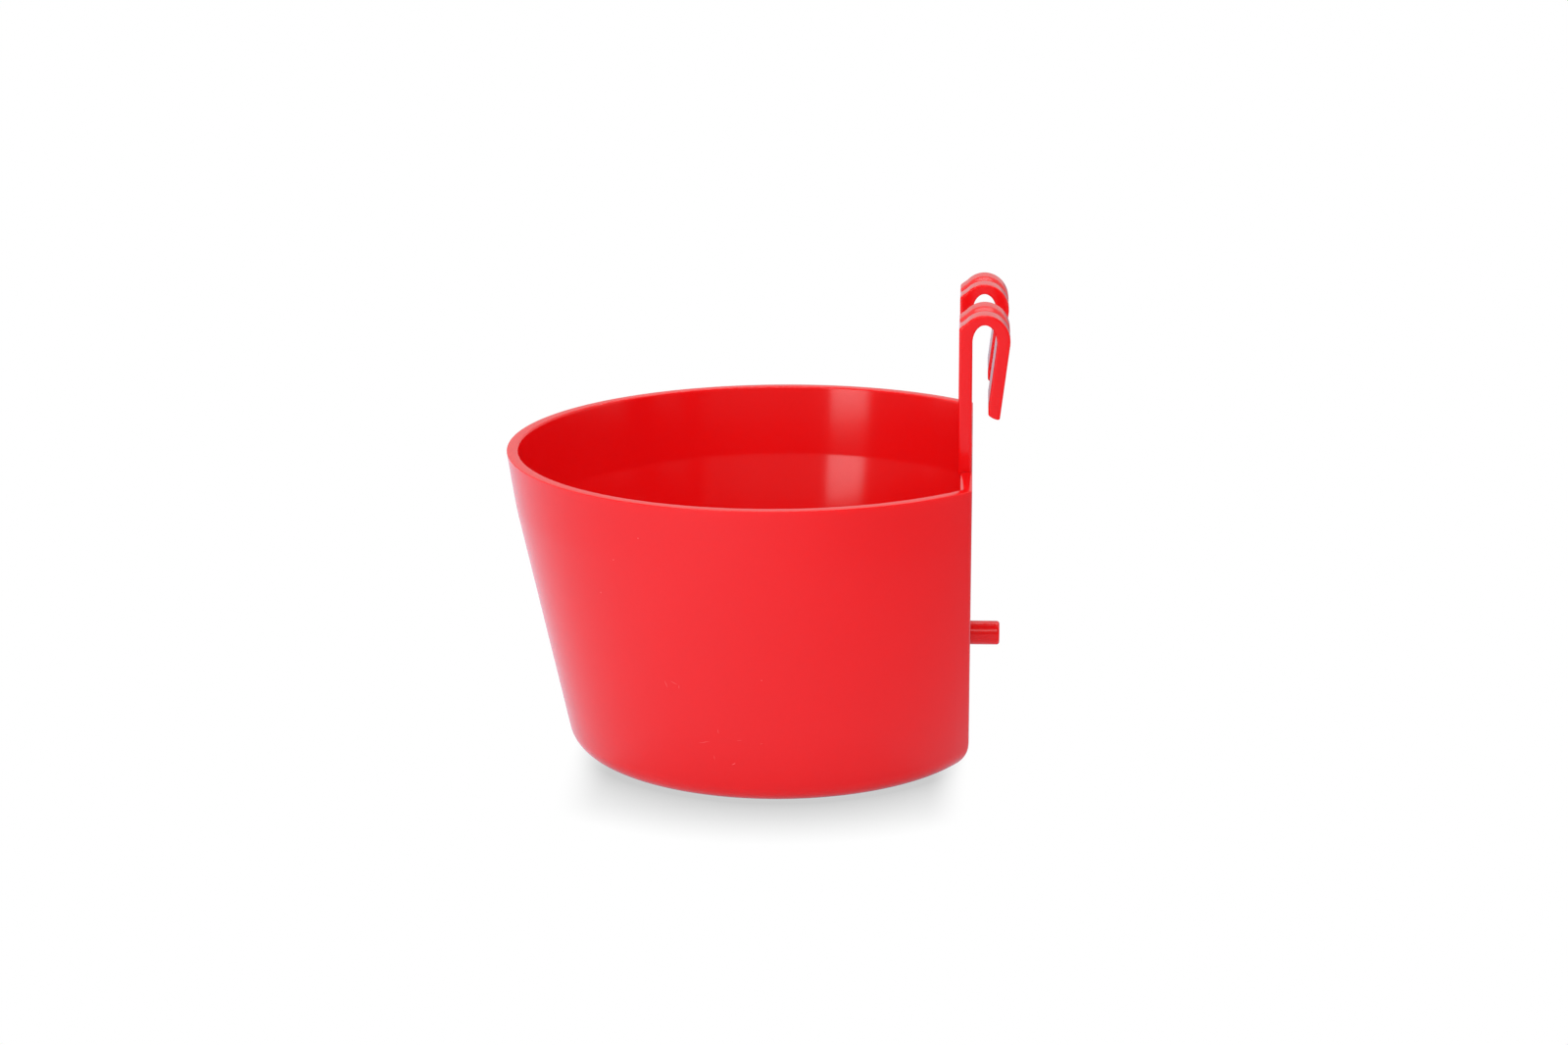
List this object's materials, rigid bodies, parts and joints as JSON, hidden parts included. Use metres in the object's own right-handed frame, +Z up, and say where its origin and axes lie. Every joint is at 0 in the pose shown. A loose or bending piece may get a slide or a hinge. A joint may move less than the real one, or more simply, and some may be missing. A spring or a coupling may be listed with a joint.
{
  "type": "hook-on poultry feeder",
  "caption": "Red plastic feed cup, round in front and flat at the back, with strap hooks that hang it on a cage wire and a peg that keeps it upright.",
  "frame": {"origin": "where the axis of the cup's round wall meets the base it stands on", "axes": "+X from the axis to the flat back and the hooks, +Y across the back, +Z up out of the cup's mouth"},
  "size_m": [0.1288, 0.1398, 0.1183],
  "materials": {
    "red_plastic": "gloss inside and on the hooks, satin on the outer wall"
  },
  "bodies": {
    "root": {"cup": "red_plastic", "left_hook": "red_plastic", "right_hook": "red_plastic", "spacer_peg": "red_plastic"}
  },
  "joints": []
}
